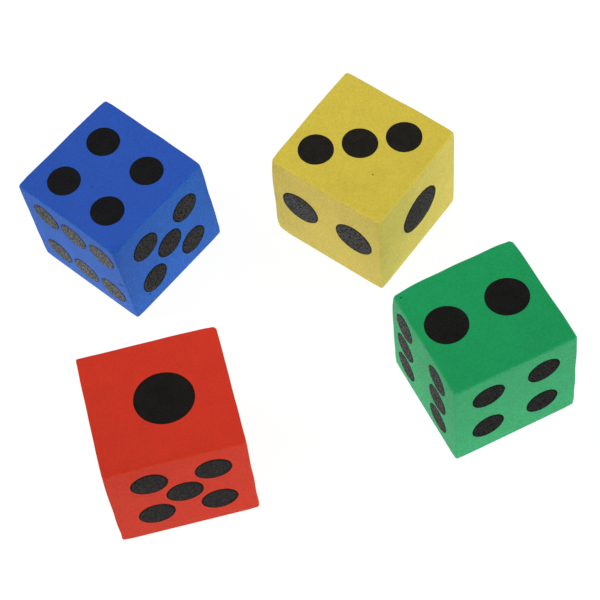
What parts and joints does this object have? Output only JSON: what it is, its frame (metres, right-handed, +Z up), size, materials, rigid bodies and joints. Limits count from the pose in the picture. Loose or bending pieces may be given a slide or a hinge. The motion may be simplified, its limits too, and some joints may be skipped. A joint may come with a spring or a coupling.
{
  "type": "giant yard dice set",
  "caption": "Set of large soft foam dice in blue, yellow, red and green with round black printed pips, lying as thrown on flat ground.",
  "frame": {"origin": "on the ground, under the middle of the outline of the whole set", "axes": "+Z up from the ground, +X along the longer way of the layout, +Y away from the red and green dice towards the blue and yellow ones"},
  "size_m": [0.308, 0.2632, 0.08],
  "materials": {
    "blue_foam": "matte skin of cut closed-cell EVA foam, very fine cells",
    "yellow_foam": "matte skin of cut closed-cell EVA foam, very fine cells",
    "red_foam": "matte skin of cut closed-cell EVA foam, very fine cells",
    "green_foam": "matte skin of cut closed-cell EVA foam, very fine cells",
    "black_ink": "black screen-printed ink, semi-matte, flecked where the foam's cells show through"
  },
  "bodies": {
    "blue_die": {"blue_foam_block": "blue_foam", "blue_pips_one": "black_ink", "blue_pips_two": "black_ink", "blue_pips_three": "black_ink", "blue_pips_four": "black_ink", "blue_pips_five": "black_ink", "blue_pips_six": "black_ink"},
    "yellow_die": {"yellow_foam_block": "yellow_foam", "yellow_pips_one": "black_ink", "yellow_pips_two": "black_ink", "yellow_pips_three": "black_ink", "yellow_pips_four": "black_ink", "yellow_pips_five": "black_ink", "yellow_pips_six": "black_ink"},
    "red_die": {"red_foam_block": "red_foam", "red_pips_one": "black_ink", "red_pips_two": "black_ink", "red_pips_three": "black_ink", "red_pips_four": "black_ink", "red_pips_five": "black_ink", "red_pips_six": "black_ink"},
    "green_die": {"green_foam_block": "green_foam", "green_pips_one": "black_ink", "green_pips_two": "black_ink", "green_pips_three": "black_ink", "green_pips_four": "black_ink", "green_pips_five": "black_ink", "green_pips_six": "black_ink"}
  },
  "joints": [
    {"name": "blue_roll", "type": "hinge", "parent": "red_die", "child": "blue_die", "pos_m": [-0.12592, 0.10521, 0], "axis": [-0.7278, -0.6858, 0], "range_deg": [0, 90]},
    {"name": "yellow_roll", "type": "hinge", "parent": "red_die", "child": "yellow_die", "pos_m": [0.0787, 0.10036, 0], "axis": [-0.7266, 0.6871, 0], "range_deg": [0, 90]},
    {"name": "green_roll", "type": "hinge", "parent": "red_die", "child": "green_die", "pos_m": [0.14193, -0.04955, 0], "axis": [-0.319, 0.9478, 0], "range_deg": [0, 90]}
  ]
}
